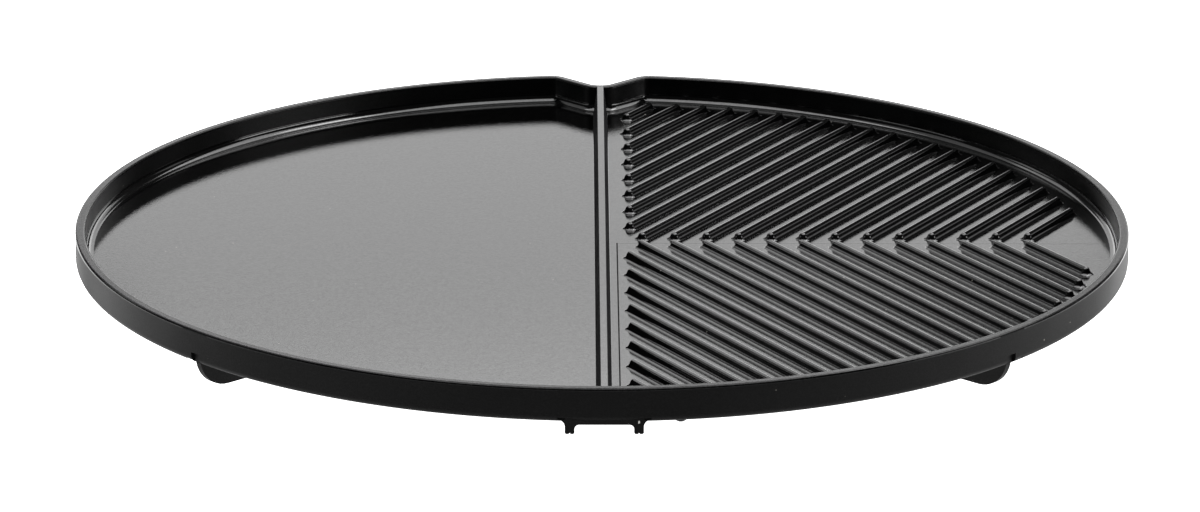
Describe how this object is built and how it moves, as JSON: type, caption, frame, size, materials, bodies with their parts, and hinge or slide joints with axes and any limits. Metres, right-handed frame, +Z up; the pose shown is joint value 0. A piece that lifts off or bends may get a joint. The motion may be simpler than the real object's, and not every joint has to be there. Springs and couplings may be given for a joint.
{
  "type": "camp griddle plate",
  "caption": "Round cast griddle plate with a flat half, a chevron-ribbed half, a divider bar, an upright rim folded into a V beside the bar's end, and feet and lugs below.",
  "frame": {"origin": "under the middle of the round rim, on the plane that the feet stand on", "axes": "+X towards the ribbed half, +Y along the divider bar towards the V in the rim, +Z up"},
  "size_m": [0.47, 0.4687, 0.027],
  "materials": {
    "cooking_coat": "glossy black non-stick coat on cast aluminium",
    "outer_coat": "satin black coat on cast aluminium"
  },
  "bodies": {
    "root": {"rim_wall": "cooking_coat", "notch_wall": "cooking_coat", "divider_bar": "cooking_coat", "flat_floor": "cooking_coat", "ribbed_floor": "cooking_coat", "far_ribs": "cooking_coat", "near_ribs": "cooking_coat", "support_feet": "outer_coat", "locating_lugs": "outer_coat", "lug_web": "outer_coat", "under_stud": "outer_coat"}
  },
  "joints": []
}
